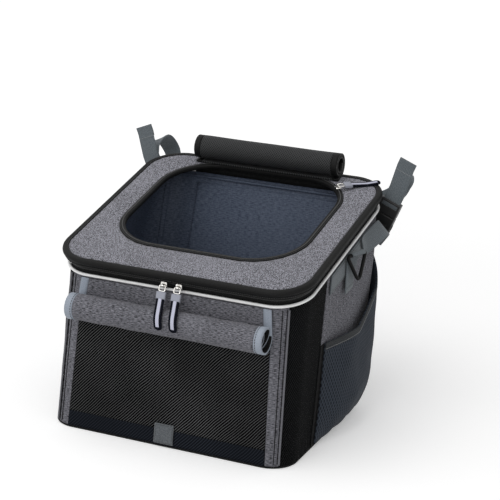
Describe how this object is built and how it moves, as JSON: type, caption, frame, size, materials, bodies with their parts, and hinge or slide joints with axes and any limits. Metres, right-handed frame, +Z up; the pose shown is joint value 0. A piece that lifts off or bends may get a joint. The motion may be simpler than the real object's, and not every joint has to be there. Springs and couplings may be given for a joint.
{
  "type": "dog bicycle basket",
  "caption": "Soft-sided pet basket that straps to a bicycle's handlebar, with a sloping zipped lid, a large top opening, a mesh window under a rolled flap and side pockets.",
  "frame": {"origin": "middle of the base's flat underside", "axes": "+Z up, +Y from the mesh window at the front towards the rider and the handlebar, +X to the basket's own left as seen by a dog that looks out over the front, which is the right side seen from the front"},
  "size_m": [0.4276, 0.3991, 0.3389],
  "materials": {
    "grey_melange": "mid-grey marled polyester, plain weave, matt",
    "pale_melange": "light-grey marled polyester over thin foam, matt",
    "black_cloth": "black woven polyester, matt",
    "black_mesh": "black open knitted mesh",
    "navy_mesh": "blue-black honeycomb spacer mesh, matt",
    "navy_lining": "dark navy woven lining, matt",
    "white_piping": "smooth white cord piping, satin",
    "reflective_grey": "pale blue-grey reflective tape, satin",
    "webbing": "slate-grey ribbed webbing, matt",
    "silver": "bright nickel plating",
    "spring_steel": "drawn wire",
    "black_plastic": "moulded acetal, satin",
    "board": "stiff polypropylene sheet",
    "fleece": "short grey fleece, matt"
  },
  "bodies": {
    "basket": {"back_board": "board", "back_panel": "grey_melange", "base_board": "board", "base_panel": "black_cloth", "body_zip_tape": "black_cloth", "buckle_female_left": "black_plastic", "buckle_female_right": "black_plastic", "buckle_strap_left": "webbing", "buckle_strap_right": "webbing", "corner_piping_left": "reflective_grey", "corner_piping_right": "reflective_grey", "d_ring_tab_left": "webbing", "d_ring_tab_right": "webbing", "floor_cushion": "fleece", "front_corner_strip_left": "grey_melange", "front_corner_strip_right": "grey_melange", "front_flap": "grey_melange", "front_flap_binding_left": "reflective_grey", "front_flap_binding_right": "reflective_grey", "front_lower_band": "navy_lining", "front_top_band": "grey_melange", "front_window_mesh": "black_mesh", "lid_hinge_tape": "black_cloth", "rim_piping": "white_piping", "rim_wire": "spring_steel", "side_band_left": "webbing", "side_band_right": "webbing", "side_mesh_left": "black_mesh", "side_mesh_right": "black_mesh", "side_panel_left": "grey_melange", "side_panel_right": "grey_melange", "side_pocket_left": "navy_mesh", "side_pocket_right": "navy_mesh", "strap_loop_left": "webbing", "strap_loop_right": "webbing", "strap_tail_left": "webbing", "strap_tail_right": "webbing", "window_closing_tab": "webbing", "zip_teeth": "black_plastic"},
    "lid": {"lid_skirt": "black_cloth", "lid_panel": "pale_melange", "lid_opening_binding": "black_cloth", "lid_wire": "spring_steel", "top_mesh_roll": "black_mesh", "top_mesh_hem_left": "black_cloth", "top_mesh_hem_right": "black_cloth"},
    "zip_slider_left": {"zip_slider_left": "silver"},
    "zip_slider_right": {"zip_slider_right": "silver"},
    "zip_pull_left": {"zip_left_ring": "silver", "zip_left_pull": "webbing"},
    "zip_pull_right": {"zip_right_ring": "silver", "zip_right_pull": "webbing"},
    "top_slider": {"top_zip_slider": "silver"},
    "top_pull": {"top_zip_ring": "silver", "top_zip_pull": "webbing"},
    "d_ring_left": {"d_ring_left": "black_plastic"},
    "d_ring_right": {"d_ring_right": "black_plastic"},
    "buckle_male_left": {"buckle_male_left": "black_plastic"},
    "buckle_male_right": {"buckle_male_right": "black_plastic"}
  },
  "joints": [
    {"name": "lid_hinge", "type": "hinge", "parent": "basket", "child": "lid", "pos_m": [0, 0.20844, 0.28726], "axis": [-1, 0, 0], "range_deg": [0, 95]},
    {"name": "zip_left_travel", "type": "slide", "parent": "basket", "child": "zip_slider_left", "axis": [-1, 0, 0], "range_m": [0, 0.108]},
    {"name": "zip_right_travel", "type": "slide", "parent": "basket", "child": "zip_slider_right", "axis": [1, 0, 0], "range_m": [0, 0.108]},
    {"name": "zip_left_pull_swing", "type": "hinge", "parent": "zip_slider_left", "child": "zip_pull_left", "pos_m": [-0.0125, -0.11426, 0.21307], "axis": [-1, 0, 0], "range_deg": [0, 100]},
    {"name": "zip_right_pull_swing", "type": "hinge", "parent": "zip_slider_right", "child": "zip_pull_right", "pos_m": [0.0085, -0.11426, 0.21307], "axis": [-1, 0, 0], "range_deg": [0, 100]},
    {"name": "top_zip_travel", "type": "hinge", "parent": "lid", "child": "top_slider", "pos_m": [0.06, 0.11313, 0.28461], "axis": [0, 0.2233, -0.9748], "range_deg": [0, 38]},
    {"name": "top_zip_pull_swing", "type": "hinge", "parent": "top_slider", "child": "top_pull", "pos_m": [0.11674, 0.15538, 0.2987], "axis": [0.6157, -0.7681, -0.1759], "range_deg": [0, 120]},
    {"name": "d_ring_left_swing", "type": "hinge", "parent": "basket", "child": "d_ring_left", "pos_m": [-0.18311, 0.05995, 0.23688], "axis": [-0.342, 0.9397, 0], "range_deg": [0, 140]},
    {"name": "d_ring_right_swing", "type": "hinge", "parent": "basket", "child": "d_ring_right", "pos_m": [0.18311, 0.05995, 0.23688], "axis": [-0.342, -0.9397, 0], "range_deg": [0, 140]},
    {"name": "buckle_left_release", "type": "slide", "parent": "basket", "child": "buckle_male_left", "axis": [-0.3781, 0, 0.9258], "range_m": [0, 0.016]},
    {"name": "buckle_right_release", "type": "slide", "parent": "basket", "child": "buckle_male_right", "axis": [0.3781, 0, 0.9258], "range_m": [0, 0.016]}
  ]
}
